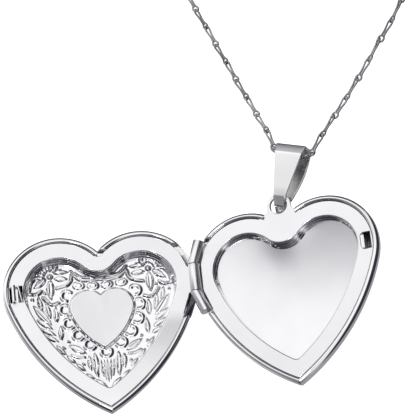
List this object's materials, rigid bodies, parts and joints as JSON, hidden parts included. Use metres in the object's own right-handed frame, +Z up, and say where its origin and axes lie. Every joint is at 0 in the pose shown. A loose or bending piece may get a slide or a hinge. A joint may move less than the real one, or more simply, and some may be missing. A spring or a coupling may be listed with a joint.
{
  "type": "locket",
  "caption": "Open heart-shaped locket with a hinged front half, latch, strap bail and fine hairpin-link chain.",
  "frame": {"origin": "on the flat back of the back half, on its line of symmetry, at mid height of the heart", "axes": "+Z up out of the back half's window, +Y from the tip towards the bail, +X from the hinge towards the latch"},
  "size_m": [0.0651, 0.0797, 0.0144],
  "materials": {
    "polished_steel": "mirror-polished stainless steel",
    "satin_steel": "fine satin stainless steel",
    "chain_steel": "bright drawn steel wire"
  },
  "bodies": {
    "back": {"back_shell": "polished_steel", "back_frame": "satin_steel", "hinge_ear_top": "polished_steel", "hinge_ear_bottom": "polished_steel", "hinge_pin": "polished_steel"},
    "front": {"front_shell": "polished_steel", "front_frame": "satin_steel", "hinge_barrel": "polished_steel", "latch_tongue": "satin_steel"},
    "hanger": {"bail": "polished_steel", "chain_left": "chain_steel", "chain_right": "chain_steel", "chain_coil": "chain_steel", "jump_ring": "chain_steel", "end_ring": "chain_steel", "clasp_body": "polished_steel", "clasp_rivet": "polished_steel", "clasp_spring": "chain_steel"},
    "lever": {"clasp_lever": "polished_steel"}
  },
  "joints": [
    {"name": "lid_hinge", "type": "hinge", "parent": "back", "child": "front", "pos_m": [-0.01405, 0.0055, 0.00325], "axis": [0, 1, 0], "range_deg": [-22, 158]},
    {"name": "bail_swing", "type": "hinge", "parent": "back", "child": "hanger", "pos_m": [0, 0.0139, 0.00267], "axis": [0, 0, 1], "range_deg": [-25, 50]},
    {"name": "clasp_trigger", "type": "hinge", "parent": "hanger", "child": "lever", "pos_m": [-0.01396, 0.05818, 0.0009], "axis": [0, 0, 1], "range_deg": [-22, 0], "stiffness_Nm_per_rad": 0.0001, "springref_deg": 11.46}
  ]
}
